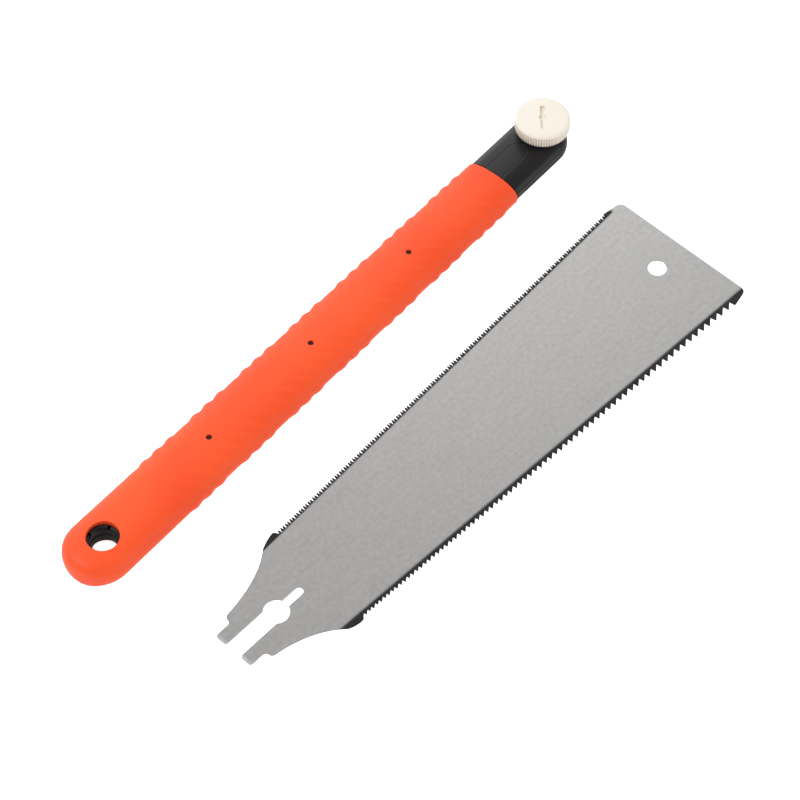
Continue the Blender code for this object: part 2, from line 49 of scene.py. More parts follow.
# Grip sleeve
HANDLE_Y = 58.2
BUTT_X, BUTT_R = -158.4, 17.1
SLEEVE_FRONT = 123.8
SLEEVE_TOPS = ((-176.0, 17.3), (SLEEVE_FRONT, 14.8))
SLEEVE_WIDTHS = ((BUTT_X, 17.1), (-114.0, 16.9), (6.0, 16.4), (66.0, 16.1), (SLEEVE_FRONT, 15.7))
SLEEVE_POWER = 2.3  # 2 is an ellipse, more is squarer
SLEEVE_SIDES = 120
SLEEVE_STEP = 1.05  # spacing of the sections along the grip
SLEEVE_SINK = 0.4  # how far the section's underside is cut away by the rest plane
SLEEVE_EDGE = 0.9  # rounding of the front rim
RIB_GROUPS = [-102.9 + 34.3 * i for i in range(7)]
RIB_PITCH, RIB_HEIGHT = 8.4, 0.8
RIB_REACH, RIB_FADE = 1.5 * RIB_PITCH, 2.0  # half a group of ribs, and where it dies away
RIB_LEAN = 15.0  # how far a rib leans back towards the butt as it climbs the flank
RIB_DIP = 1.6  # how deep the hollow between two ribs is on the shoulder of the grip
HANG_X, HANG_R, HANG_LIP = -155.2, 7.8, 0.8
EYE_R, EYE_BORE, EYE_BOTTOM, EYE_TOP = 10.8, 6.3, 3.0, 14.0
EYE_EDGE, EYE_FOOT_EDGE = 0.7, 0.4
LEDGE_BOTTOM, LEDGE_TOP, LEDGE_DEEP, LEDGE_SLOPE = 7.6, 9.0, 0.5, 0.4  # groove inside the eye
NOTCH_DEEP, NOTCH_LOW, NOTCH_HALF = 1.3, 1.6, 0.8  # four nicks in the eye's top rim
PIN_STATIONS = (-84.3, -13.2, 58.5)
PIN_WINDOW_R = 1.5
BOSS_R, BOSS_DEPTH = 1.2, 0.9  # a blind boss of the core stands in each small hole of the sleeve

# Core and head
SPLIT_Z = 6.0
CORE_REAR, CORE_WALL = -141.0, 2.4
CORE_WIDTHS = ((CORE_REAR, 13.8), (SLEEVE_FRONT, 12.6))
HEAD_STEP = SLEEVE_FRONT + GAP
HEAD_HALF_WIDTH, HEAD_MID_Z, HEAD_HALF_HEIGHT = 15.0, 7.15, 6.95
HEAD_POWER = 2.4
HEAD_SIDES = 144
NOSE_X, NOSE_DIP = 158.4, 1.6
SLOT_BACK, SLOT_TOP = 129.5, 7.2
CLAMP_X, SHOULDER_R = 161.7, 6.0
TONGUE_TIP_X = 147.7
TONGUE_NEAR, TONGUE_FAR = 5.0, 6.2  # how far it reaches either side of the handle's axis
TONGUE_SINK, TONGUE_EDGE = 0.16, 0.25
CORE_ENDS, CORE_SIDE = (-160.0, 190.0), 20.0  # the cutting blocks reach past the core
ROOM_FRONT, ROOM_R = 168.7, 10.1  # rooms of the spine plate and the jaw liner
SPINE_REAR, SPINE_FLOOR = -128.3, 4.3
LINER_SETBACK, LINER_SKIM, LINER_ROOF = 2.7, 0.5, 8.3
NUT_FLATS, NUT_ROOF = 13.0, 4.6
PIN_ROOM_R, PIN_ROOM_BOTTOM, PIN_ROOM_TOP = 2.3, 3.1, 11.3
RIVET_X, RIVET_Y, RIVET_ROOM_R = 143.0, 7.0, 1.4
STOP_X, STOP_Y, STOP_ROOM_R, STOP_ROOM_BOTTOM = 142.0, 12.4, 1.2, 3.3
SCREW_X, SCREW_Y, SCREW_ROOM_R, SCREW_ROOM_TOP = 112.0, 5.5, 1.8, 10.7
SUNK_HEAD_R, SUNK_BOTTOM, SUNK_TOP = 2.9, 0.5, 5.0
BOSS_FOOT = 12.5

# Knob
KNOB_R, KNOB_BOTTOM, KNOB_TOP = 13.9, 16.0, 23.1
KNURLS, KNURL_DEPTH = 64, 0.95
KNURL_SINK = 0.5  # how far a serration's foot reaches into the rim
KNOB_EDGE, KNOB_LAP = 1.5, 0.15  # soft top edge, and how far it stays inside the serrations' tips
CENTRE_R = 0.4  # the flat faces are drawn from this small ring inwards
COIN_SLOT_CORNER = 0.5
RECESS_R, RECESS_DEEP = 2.0, 1.7
COIN_SLOT_LONG, COIN_SLOT_WIDE, COIN_SLOT_DEEP = 14.9, 2.5, 1.5
COIN_SLOT_TURN = radians(40.4)
WASHER_R, WASHER_SEAT = 10.0, 17.7
HEX_FLATS, HEX_TOP = 15.0, 20.8

# Blade, in its own frame: x from the tang's round hole to the tip, +y the fine edge
BLADE_X, BLADE_Y, BLADE_Z = -127.2, -21.2, 0.25
BLADE_TURN = radians(-2.65)
BLADE_THICK = 0.7
BLADE_END = 284.6
EDGE_SLOPE = 0.0457
FINE_START, FINE_COUNT, FINE_TIP_Y = 31.3, 155, 30.0
FINE_PITCH, FINE_DEPTH = 1.57, 2.3
COARSE_START, COARSE_STOP, COARSE_TIP_Y = 26.8, 274.6, 30.8
COARSE_PITCH, COARSE_GROWTH, COARSE_DEPTH = 2.35, 0.0092, 0.68
TOOTH_SET = 0.14
FINE_BAND, COARSE_BAND = 0.5, 1.5  # how far the hardened strips reach past the teeth's roots
FINE_SOFT, COARSE_SOFT = 0.5, 0.9  # how gradually the strips end
BAND_END = 277.5  # the fine strip stops short of the blade's corner
PLATE_BEVEL = 0.09
TIP_HOLE_X, TIP_HOLE_R = 265.7, 4.7


# ---------------------------------------------------------------- shapes

def between(table, x):
    """Read a value off a short table of (station, value) pairs."""
    for (x0, v0), (x1, v1) in zip(table, table[1:]):
        if x <= x1:
            return v0 + (v1 - v0) * max(0.0, (x - x0) / (x1 - x0))
    return table[-1][1]


def squared(value, power):
    """A sine or cosine pushed outwards, so that a circle becomes a squarer oval."""
    return (abs(value) ** (2 / power)) * (1 if value >= 0 else -1)


def arc(centre, radius, start, stop, steps):
    """Points on an arc, angles in degrees."""
    turns = [radians(start + (stop - start) * i / steps) for i in range(steps + 1)]
    return [(centre[0] + radius * cos(a), centre[1] + radius * sin(a)) for a in turns]


def bezier(start, pull, stop, steps):
    """A soft curve from start to stop that leans towards pull, without its first point."""
    shares = [i / steps for i in range(1, steps + 1)]
    return [tuple((1 - t) ** 2 * a + 2 * t * (1 - t) * b + t * t * c
                  for a, b, c in zip(start, pull, stop)) for t in shares]


def mesh_of(name, points, faces):
    """A mesh from points in millimetres."""
    mesh = bpy.data.meshes.new(name)
    mesh.from_pydata([tuple(v * MM for v in p) for p in points], [], faces)
    mesh.update()
    return mesh


def put(name, mesh):
    """Link a mesh into the scene as a new object at the origin."""
    made = bpy.data.objects.new(name, mesh)
    bpy.context.scene.collection.objects.link(made)
    return made


def skin(name, rings, centre=(0, 0, 0)):
    """Join rings of equal length into one closed skin, with a flat cap on each end."""
    count = len(rings[0])
    points = [tuple(a + b for a, b in zip(p, centre)) for ring in rings for p in ring]
    faces = [(r * count + i, r * count + (i + 1) % count,
              (r + 1) * count + (i + 1) % count, (r + 1) * count + i)
             for r in range(len(rings) - 1) for i in range(count)]
    faces.append(tuple(reversed(range(count))))
    faces.append(tuple(range((len(rings) - 1) * count, len(rings) * count)))
    return outward(mesh_of(name, points, faces))


def outward(mesh):
    """Merge doubled points and turn every face outwards."""
    bm = bmesh.new()
    bm.from_mesh(mesh)
    bmesh.ops.remove_doubles(bm, verts=bm.verts, dist=1e-7)
    bmesh.ops.recalc_face_normals(bm, faces=bm.faces)
    bm.to_mesh(mesh)
    bm.free()
    return mesh


def turned(name, profile, steps, centre=(0, 0, 0)):
    """Turn a profile of (radius, z) points about an upright axis; it closes on the axis or a bore."""
    around = [2 * pi * (i + 0.5) / steps for i in range(steps)]
    rows = [[(r * cos(a), r * sin(a), z) for a in around] for r, z in profile if r > 0]
    if min(r for r, _ in profile) > 0:
        return ring_skin(name, rows, centre)
    return skin(name, rows, centre)


def ring_skin(name, rows, centre):
    """A closed ring: the last row of points joins back to the first."""
    count = len(rows[0])
    total = len(rows)
    points = [tuple(a + b for a, b in zip(p, centre)) for row in rows for p in row]
    faces = [(r * count + i, r * count + (i + 1) % count,
              (r + 1) % total * count + (i + 1) % count, (r + 1) % total * count + i)
             for r in range(total) for i in range(count)]
    return outward(mesh_of(name, points, faces))


def prism(name, outline, bottom, top, centre=(0, 0, 0), turn=0.0):
    """An upright block with the given outline."""
    spun = [(x * cos(turn) - y * sin(turn), x * sin(turn) + y * cos(turn)) for x, y in outline]
    return skin(name, [[(x, y, z) for x, y in spun] for z in (bottom, top)], centre)


def round_outline(radius, steps=32):
    """A circle of points that starts half a step round, so that a flat faces each way."""
    half_step = 360 / steps / 2
    return arc((0, 0), radius, half_step, 360 + half_step, steps)[:-1]


def block_outline(x0, x1, y0, y1):
    return [(x0, y0), (x1, y0), (x1, y1), (x0, y1)]


def plain_mesh(shape):
    """Replace an object's mesh by its finished shape and drop its modifiers."""
    bpy.context.view_layer.update()
    ready = shape.evaluated_get(bpy.context.evaluated_depsgraph_get())
    done = bpy.data.meshes.new_from_object(ready)
    shape.modifiers.clear()
    shape.data = done
    return shape


def carve(piece, cutters, operation="DIFFERENCE"):
    """Cut a group of shapes out of a piece, or join them to it."""
    group = bpy.data.collections.new(piece.name + "_cutters")
    drafts = [bpy.data.objects.new(mesh.name, mesh) for mesh in cutters]
    for draft in drafts:
        group.objects.link(draft)
    bpy.context.scene.collection.children.link(group)
    step = piece.modifiers.new("carve", "BOOLEAN")
    step.operand_type = "COLLECTION"
    step.collection = group
    step.operation = operation
    step.solver = "EXACT"
    plain_mesh(piece)
    for draft in drafts:
        bpy.data.objects.remove(draft, do_unlink=True)
    bpy.data.collections.remove(group)


def smooth(piece, angle=32):
    """Smooth shading, with edges sharper than the angle left crisp."""
    piece.data.shade_smooth()
    piece.data.set_sharp_from_angle(angle=radians(angle))


def settle(piece, body, slot, material, *nodes):
    """Hand a finished piece to the body it moves with, in place of its CAD solids."""
    piece.data.materials.clear()
    piece.data.materials.append(material)
    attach(piece, body)
    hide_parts(*nodes)


# ---------------------------------------------------------------- materials

def linear(hex_colour):
    """An sRGB hex colour as linear red, green, blue and alpha."""
    parts = [int(hex_colour[i:i + 2], 16) / 255 for i in (1, 3, 5)]
    return (*[c / 12.92 if c <= 0.04045 else ((c + 0.055) / 1.055) ** 2.4 for c in parts], 1.0)


def add(tree, kind, sockets=None, **settings):
    """Add a node with its settings; each socket gets a value, or a link when given an output."""
    made = tree.nodes.new(kind)
    for key, value in settings.items():
        setattr(made, key, value)
    for key, value in (sockets or {}).items():
        if isinstance(value, bpy.types.NodeSocket):
            tree.links.new(value, made.inputs[key])
        else:
            made.inputs[key].default_value = value
    return made


def new_finish(name, roughness, metallic=0.0, colour=None):
    """A material with its Principled shader, its node tree and a place coordinate in metres."""
    made = bpy.data.materials.new(name)
    made.use_nodes = True
    tree = made.node_tree
    shader = tree.nodes["Principled BSDF"]
    shader.inputs["Roughness"].default_value = roughness
    shader.inputs["Metallic"].default_value = metallic
    if colour:
        shader.inputs["Base Color"].default_value = linear(colour)
        made.diffuse_color = linear(colour)
    place = add(tree, "ShaderNodeTexCoord").outputs["Object"]
    return made, tree, shader, place


def vary_colour(tree, shader, pattern, low, high):
    """Base colour drifting between two hex colours along a 0 to 1 pattern."""
    ramp = add(tree, "ShaderNodeValToRGB", {"Fac": pattern})
    ramp.color_ramp.elements[0].color = linear(low)
    ramp.color_ramp.elements[1].color = linear(high)
    tree.links.new(ramp.outputs["Color"], shader.inputs["Base Color"])
    return ramp


def vary_roughness(tree, shader, pattern, low, high):
    """Roughness drifting between two values along a 0 to 1 pattern."""
    spread = add(tree, "ShaderNodeMapRange", {0: pattern, 3: low, 4: high})
    tree.links.new(spread.outputs[0], shader.inputs["Roughness"])


def raise_grain(tree, shader, pattern, height_mm, strength=1.0):
    """Bump of a real height in millimetres."""
    bump = add(tree, "ShaderNodeBump", {
        "Height": pattern, "Distance": height_mm * MM, "Strength": strength})
    tree.links.new(bump.outputs["Normal"], shader.inputs["Normal"])
    return bump


def grip_rubber():
    """Thermoplastic rubber moulded over the core: even orange with a soft, finely sparked skin.

    The grain keeps highlights broad; a slow drift in depth of colour comes from the wall's
    changing thickness. The grain is drawn 0.45 mm across so that it can be seen.
    """
    made, tree, shader, place = new_finish("moulded_rubber_orange", 0.5, colour="#fc541d")
    grain = add(tree, "ShaderNodeTexNoise", {"Vector": place, "Scale": 2200.0, "Detail": 3.0})
    drift = add(tree, "ShaderNodeTexNoise", {"Vector": place, "Scale": 22.0, "Detail": 1.0})
    ramp = vary_colour(tree, shader, drift.outputs["Fac"], "#f94d17", "#ff571d")
    ramp.color_ramp.elements[0].position = 0.3
    ramp.color_ramp.elements[1].position = 0.7
    vary_roughness(tree, shader, grain.outputs["Fac"], 0.44, 0.6)
    raise_grain(tree, shader, grain.outputs["Fac"], 0.02, 0.5)
    shader.inputs["IOR"].default_value = 1.45
    return made


def black_nylon():
    """Glass-filled nylon, injection moulded and satin: near black with a soft grey sheen.

    A fine eroded-steel texture, drawn 0.5 mm across, breaks up the sheen; rubbing has
    polished it slightly in patches a few centimetres wide.
    """
    made, tree, shader, place = new_finish("moulded_nylon_black", 0.34, colour="#1c191b")
    grain = add(tree, "ShaderNodeTexNoise", {"Vector": place, "Scale": 2000.0, "Detail": 2.0})
    rubbed = add(tree, "ShaderNodeTexNoise", {"Vector": place, "Scale": 40.0, "Detail": 2.0})
    vary_colour(tree, shader, rubbed.outputs["Fac"], "#121012", "#191618")
    vary_roughness(tree, shader, rubbed.outputs["Fac"], 0.3, 0.42)
    raise_grain(tree, shader, grain.outputs["Fac"], 0.008, 0.6)
    shader.inputs["Specular IOR Level"].default_value = 0.32
    return made


def ivory_nylon():
    """Unfilled nylon, moulded and slightly see-through: warm ivory with a waxy surface."""
    made, tree, shader, place = new_finish("moulded_nylon_ivory", 0.45, colour="#f6efe2")
    cloud = add(tree, "ShaderNodeTexNoise", {"Vector": place, "Scale": 90.0, "Detail": 3.0})
    grain = add(tree, "ShaderNodeTexNoise", {"Vector": place, "Scale": 1600.0, "Detail": 2.0})
    vary_colour(tree, shader, cloud.outputs["Fac"], "#f1e8d9", "#f9f3e8")
    vary_roughness(tree, shader, grain.outputs["Fac"], 0.38, 0.5)
    raise_grain(tree, shader, grain.outputs["Fac"], 0.012, 0.5)
    return made


def straight_line(tree, x, y, slope, offset, soft):
    """0 to 1 mask of the side where y is above offset + slope x, both in the blade's own frame."""
    along = add(tree, "ShaderNodeMath", {0: x, 1: -slope}, operation="MULTIPLY")
    above = add(tree, "ShaderNodeMath", {0: y, 1: along.outputs[0]}, operation="ADD")
    edge = add(tree, "ShaderNodeMapRange", {
        0: above.outputs[0], 1: offset - soft, 2: offset + soft}, interpolation_type="SMOOTHSTEP")
    return edge.outputs[0]


def blade_steel():
    """Rolled carbon spring steel: satin grey, finely ground, its toothed edges flame hardened.

    The grinding lines run along the blade; hardening leaves a dark oxide strip over the teeth
    and heels with a soft inner edge. Lines are drawn 0.35 mm apart so that they can be seen.
    """
    made, tree, shader, _ = new_finish("ground_spring_steel", 0.38, 1.0, "#a9aaaa")
    flat = add(tree, "ShaderNodeUVMap", uv_map="blade_plan").outputs[0]  # blade frame, metres
    axes = add(tree, "ShaderNodeSeparateXYZ", {0: flat})
    x, y = axes.outputs[0], axes.outputs[1]
    lines = add(tree, "ShaderNodeMapping", {"Vector": flat, "Scale": (40.0, 2800.0, 1.0)})
    ground = add(tree, "ShaderNodeTexNoise", {
        "Vector": lines.outputs[0], "Scale": 1.0, "Detail": 3.0})
    mottle = add(tree, "ShaderNodeTexNoise", {"Vector": flat, "Scale": 420.0, "Detail": 4.0})
    both = add(tree, "ShaderNodeMath", {
        0: ground.outputs["Fac"], 1: mottle.outputs["Fac"]}, operation="ADD")
    half = add(tree, "ShaderNodeMath", {0: both.outputs[0], 1: 0.5}, operation="MULTIPLY")
    steel = add(tree, "ShaderNodeValToRGB", {"Fac": half.outputs[0]})
    steel.color_ramp.elements[0].color = linear("#a5a4a3")
    steel.color_ramp.elements[0].position = 0.35
    steel.color_ramp.elements[1].color = linear("#b7b6b5")
    steel.color_ramp.elements[1].position = 0.65

    fine_root = (FINE_TIP_Y - FINE_DEPTH - FINE_BAND - FINE_START * EDGE_SLOPE) * MM
    fine_line = straight_line(tree, x, y, EDGE_SLOPE, fine_root, FINE_SOFT * MM)
    before_corner = add(tree, "ShaderNodeMapRange", {
        0: x, 1: (BAND_END - 1) * MM, 2: (BAND_END + 1) * MM, 3: 1.0, 4: 0.0})
    fine = add(tree, "ShaderNodeMath", {
        0: fine_line, 1: before_corner.outputs[0]}, operation="MULTIPLY")
    tip_line = COARSE_TIP_Y - COARSE_START * EDGE_SLOPE
    depth_line = (COARSE_PITCH - COARSE_START * COARSE_GROWTH) * COARSE_DEPTH
    root_slope = EDGE_SLOPE - COARSE_GROWTH * COARSE_DEPTH
    coarse_root = (tip_line - depth_line - COARSE_BAND) * MM
    down = add(tree, "ShaderNodeMath", {0: y, 1: -1.0}, operation="MULTIPLY")
    coarse = straight_line(tree, x, down.outputs[0], root_slope, coarse_root, COARSE_SOFT * MM)
    hard = add(tree, "ShaderNodeMath", {0: fine.outputs[0], 1: coarse}, operation="MAXIMUM")
    uneven = add(tree, "ShaderNodeTexNoise", {"Vector": flat, "Scale": 260.0, "Detail": 2.0})
    oxide = add(tree, "ShaderNodeValToRGB", {"Fac": uneven.outputs["Fac"]})
    oxide.color_ramp.elements[0].color = linear("#2c2a2a")
    oxide.color_ramp.elements[1].color = linear("#413f3f")
    whole = add(tree, "ShaderNodeMix", {
        "Factor": hard.outputs[0], 6: steel.outputs[0], 7: oxide.outputs[0]}, data_type="RGBA")
    tree.links.new(whole.outputs[2], shader.inputs["Base Color"])
    vary_roughness(tree, shader, half.outputs[0], 0.34, 0.44)
    raise_grain(tree, shader, half.outputs[0], 0.006, 0.35)
    return made


def rolled_steel():
    """Cold-rolled sheet steel: bright grey with faint lengthwise rolling lines."""
    made, tree, shader, place = new_finish("rolled_sheet_steel", 0.35, 1.0, "#b9b9b6")
    lines = add(tree, "ShaderNodeMapping", {"Vector": place, "Scale": (60.0, 3000.0, 60.0)})
    rolled = add(tree, "ShaderNodeTexNoise", {
        "Vector": lines.outputs[0], "Scale": 1.0, "Detail": 2.0})
    vary_colour(tree, shader, rolled.outputs["Fac"], "#adada9", "#c4c4c1")
    vary_roughness(tree, shader, rolled.outputs["Fac"], 0.28, 0.42)
    raise_grain(tree, shader, rolled.outputs["Fac"], 0.005, 0.4)
    return made


def turned_steel():
    """Free-cutting steel bar, turned: bright, with fine rings from the lathe tool."""
    made, tree, shader, place = new_finish("turned_bar_steel", 0.25, 1.0, "#c3c2bf")
    rings = add(tree, "ShaderNodeTexWave", {
        "Vector": place, "Scale": 900.0, "Distortion": 0.4, "Detail": 1.0}, bands_direction="Z")
    cloud = add(tree, "ShaderNodeTexNoise", {"Vector": place, "Scale": 300.0})
    vary_colour(tree, shader, cloud.outputs["Fac"], "#b6b5b1", "#cdccc9")
    vary_roughness(tree, shader, cloud.outputs["Fac"], 0.2, 0.34)
    raise_grain(tree, shader, rings.outputs["Fac"], 0.004, 0.4)
    return made


def zinc_plate():
    """Zinc-plated steel: pale, slightly bluish and frosty, as barrel-plated nuts and screws are."""
    made, tree, shader, place = new_finish("zinc_plated_steel", 0.4, 1.0, "#c6cad0")
    frost = add(tree, "ShaderNodeTexVoronoi", {"Vector": place, "Scale": 1100.0})
    vary_colour(tree, shader, frost.outputs["Distance"], "#b9bec6", "#d2d4d8")
    vary_roughness(tree, shader, frost.outputs["Distance"], 0.32, 0.48)
    raise_grain(tree, shader, frost.outputs["Distance"], 0.004, 0.5)
    return made


# ---------------------------------------------------------------- grip sleeve

def rib_at(x, climb):
    """Share of the rib height, and how near a group of ribs is, at a station along the grip.

    climb is how far up the flank the point lies, 0 at the side.
    """
    place = x + RIB_LEAN * climb
    for group in RIB_GROUPS:
        away = abs(place - group)
        if away < RIB_REACH:
            return (0.5 + 0.5 * cos(2 * pi * away / RIB_PITCH)) ** 0.8, 1.0
        if away < RIB_REACH + RIB_FADE:
            return 0.0, 1.0 - (away - RIB_REACH) / RIB_FADE
    return 0.0, 0.0


def sleeve_ring(x, half_width, share=1.0, inset=0.0):
    """One section of the sleeve, flat where it rests; share lowers it towards the butt."""
    top = between(SLEEVE_TOPS, x)
    middle = top / 2 - SLEEVE_SINK / 2
    ring = []
    for i in range(SLEEVE_SIDES):
        a = 2 * pi * i / SLEEVE_SIDES
        side, up = squared(cos(a), SLEEVE_POWER), squared(sin(a), SLEEVE_POWER)
        rib, near = rib_at(x, (1 - abs(side)) * (1 if up > 0 else -0.4))
        flank = abs(side) ** 4
        y = side * (half_width - inset + RIB_HEIGHT * rib * flank)
        z = middle + ((top / 2) * share - inset + SLEEVE_SINK / 2) * up
        shoulder = max(0.0, up) * abs(side) ** 2.2
        z -= RIB_DIP * (1 - rib) * near * shoulder
        ring.append((x, y, max(z, inset)))
    return ring


def sleeve_skin():
    """The sleeve's outside: a domed butt, the long ribbed grip and a rounded front rim."""
    rings = []
    for turn in (88.5, 86, 83, 80, 76, 72, 68, 64, 60, 55, 50, 45, 40, 34, 28, 22, 16, 10, 5):
        a = radians(turn)
        share = (1 - sin(a) ** 8) ** 0.5
        rings.append(sleeve_ring(BUTT_X - BUTT_R * sin(a), BUTT_R * cos(a), share))
    edge = SLEEVE_EDGE
    long = SLEEVE_FRONT - edge - BUTT_X
    steps = int(long / SLEEVE_STEP)
    for i in range(steps + 1):
        x = BUTT_X + long * i / steps
        rings.append(sleeve_ring(x, between(SLEEVE_WIDTHS, x)))
    for turn in (20, 45, 70, 90):
        a = radians(turn)
        x = SLEEVE_FRONT - edge + edge * sin(a)
        rings.append(sleeve_ring(x, between(SLEEVE_WIDTHS, x), 1.0, edge * (1 - cos(a))))
    return skin("grip_sleeve_rubber", rings, (0, HANDLE_Y, 0))


def bar_ring(x, grow=0.0, sides=48):
    """A section of the core's bar, the same distance inside the sleeve everywhere."""
    top = between(SLEEVE_TOPS, x)
    wide = between(CORE_WIDTHS, x) + grow
    return oval(x, wide, top / 2 - CORE_WALL + grow, top / 2, SLEEVE_POWER, sides)


def oval(x, half_width, half_height, middle, power, sides):
    """A squarish oval across the handle at x, its centre at height middle."""
    turns = [2 * pi * (i + 0.5) / sides for i in range(sides)]
    return [(x, half_width * squared(cos(a), power), middle + half_height * squared(sin(a), power))
            for a in turns]


def make_sleeve(material):
    """The rubber sleeve, hollow for the core and the eye, with its hang hole and small holes."""
    sleeve = put("grip_sleeve_rubber", sleeve_skin())
    centre = (HANG_X, HANDLE_Y, 0)
    top = between(SLEEVE_TOPS, HANG_X)
    turns = [radians(i * 15) for i in range(7)]
    lip = [(HANG_R + HANG_LIP * (1 - cos(a)), top - HANG_LIP * (1 - sin(a))) for a in turns]
    low_lip = [(HANG_R + HANG_LIP * (1 - cos(a)), HANG_LIP * (1 - sin(a))) for a in turns[::-1]]
    wide = HANG_R + HANG_LIP
    bore = [(0, top + 3), (wide + 3, top + 3), (wide + 1.2, top + 0.15), *lip[::-1],
            *low_lip[::-1], (wide + 1.2, -0.15), (wide + 3, -3), (0, -3)]
    cavity = skin("core_cavity", [bar_ring(x, GAP) for x in (
        CORE_REAR - GAP, -40.0, 40.0, SLEEVE_FRONT + 5)], (0, HANDLE_Y, 0))
    room = prism("eye_room", round_outline(EYE_R + GAP, 48), EYE_BOTTOM - GAP, EYE_TOP + GAP, centre)
    windows = [prism("window", round_outline(PIN_WINDOW_R, 20), SPLIT_Z, 20, (x, HANDLE_Y, 0))
               for x in PIN_STATIONS]
    carve(sleeve, [turned("hang_bore", bore, 64, centre), cavity, room, *windows])
    smooth(sleeve, 40)
    settle(sleeve, "handle", "orange_rubber", material, "grip_sleeve")


def make_hang_eye(material):
    """Hard eye in the hang hole: a rounded, nicked top rim and a shallow groove half way down."""
    upper = [(EYE_BORE + EYE_EDGE * (1 - sin(a)), EYE_TOP - EYE_EDGE * (1 - cos(a)))
             for a in [radians(i * 22.5) for i in range(5)]]
    profile = [(EYE_R, EYE_BOTTOM), (EYE_R, EYE_TOP), *upper,
               (EYE_BORE, LEDGE_TOP + LEDGE_SLOPE), (EYE_BORE + LEDGE_DEEP, LEDGE_TOP),
               (EYE_BORE + LEDGE_DEEP, LEDGE_BOTTOM), (EYE_BORE, LEDGE_BOTTOM - LEDGE_SLOPE),
               (EYE_BORE, EYE_BOTTOM + EYE_FOOT_EDGE), (EYE_BORE + EYE_FOOT_EDGE, EYE_BOTTOM)]
    eye = put("hang_eye_ring", turned("hang_eye_ring", profile, 64, (HANG_X, HANDLE_Y, 0)))
    nick = block_outline(EYE_BORE - 1, EYE_BORE + NOTCH_DEEP, -NOTCH_HALF, NOTCH_HALF)
    notches = [prism("notch", nick, EYE_TOP - NOTCH_LOW, EYE_TOP + 1,
                     (HANG_X, HANDLE_Y, 0), radians(turn)) for turn in (20, 110, 200, 290)]
    carve(eye, notches)
    smooth(eye)
    settle(eye, "handle", "black_nylon", material, "hang_eye")


# ---------------------------------------------------------------- core halves

def head_ring(x, width_share=1.0, dip=0.0, inset=0.0):
    """One section of the head, narrowed and lowered towards the nose."""
    return oval(x, HEAD_HALF_WIDTH * width_share - inset,
                HEAD_HALF_HEIGHT - NOSE_DIP * dip - inset, HEAD_MID_Z, HEAD_POWER, HEAD_SIDES)


def core_skin(name):
    """The core before it is split: a bar that steps up to the head and its round nose."""
    rings = [bar_ring(x, 0.0, HEAD_SIDES) for x in (CORE_REAR, -40.0, 40.0, HEAD_STEP)]
    rings.append(head_ring(HEAD_STEP, 1.0, 0.0, 0.3))
    steps = 34
    for i in range(steps):
        rings.append(head_ring(HEAD_STEP + 0.3 + (NOSE_X - HEAD_STEP - 0.3) * i / steps))
    for turn in (0, 4, 8, 12, 16, 20, 25, 30, 35, 40, 45, 50, 55, 60, 65, 70, 75, 79, 83, 86, 88.5):
        a = radians(turn)
        rings.append(head_ring(NOSE_X + HEAD_HALF_WIDTH * sin(a), cos(a), 1 - cos(a)))
    return skin(name, rings, (0, HANDLE_Y, 0))


def head_top(y):
    """Height of the head's skin above the rest plane, at y from its axis."""
    share = min(1.0, abs(y) / HEAD_HALF_WIDTH)
    return HEAD_MID_Z + HEAD_HALF_HEIGHT * (1 - share ** HEAD_POWER) ** (1 / HEAD_POWER)


def tongue_cut():
    """What is cut away for the shallow sunk tongue on the head's crest, round at its front."""
    straight = TONGUE_TIP_X - TONGUE_FAR
    stations = [HEAD_STEP - 1, HEAD_STEP + 6, straight]
    stations += [straight + TONGUE_FAR * sin(radians(turn)) for turn in range(6, 90, 6)]
    rings = []
    for x in stations:
        share = sqrt(max(0.0, 1 - max(0.0, x - straight) ** 2 / TONGUE_FAR ** 2))
        near, far = -TONGUE_NEAR * share, TONGUE_FAR * share
        sink = TONGUE_SINK * min(1.0, (TONGUE_TIP_X - x) / TONGUE_EDGE)
        inner = [near + TONGUE_EDGE + (far - near - 2 * TONGUE_EDGE) * i / 16 for i in range(17)]
        sole = [(y, head_top(y) - sink) for y in inner]
        ring = [(near, 20.0), (near, head_top(near) + 0.02), *sole, (far, head_top(far) + 0.02),
                (far, 20.0)]
        rings.append([(x, y, z) for y, z in ring])
    return skin("tongue_cut", rings, (0, HANDLE_Y, 0))


def capsule(rear, front, radius):
    """A straight-sided outline along the handle, round at both ends."""
    nose = arc((front - radius, 0), radius, -90, 90, 16)
    return nose + arc((rear + radius, 0), radius, 90, 270, 16)


def paired(tag, radius, bottom, top, x, y, steps=16):
    """The same round hole on both sides of the handle's axis."""
    return [prism(tag, round_outline(radius, steps), bottom, top, (x, HANDLE_Y + way * y, 0))
            for way in (-1, 1)]


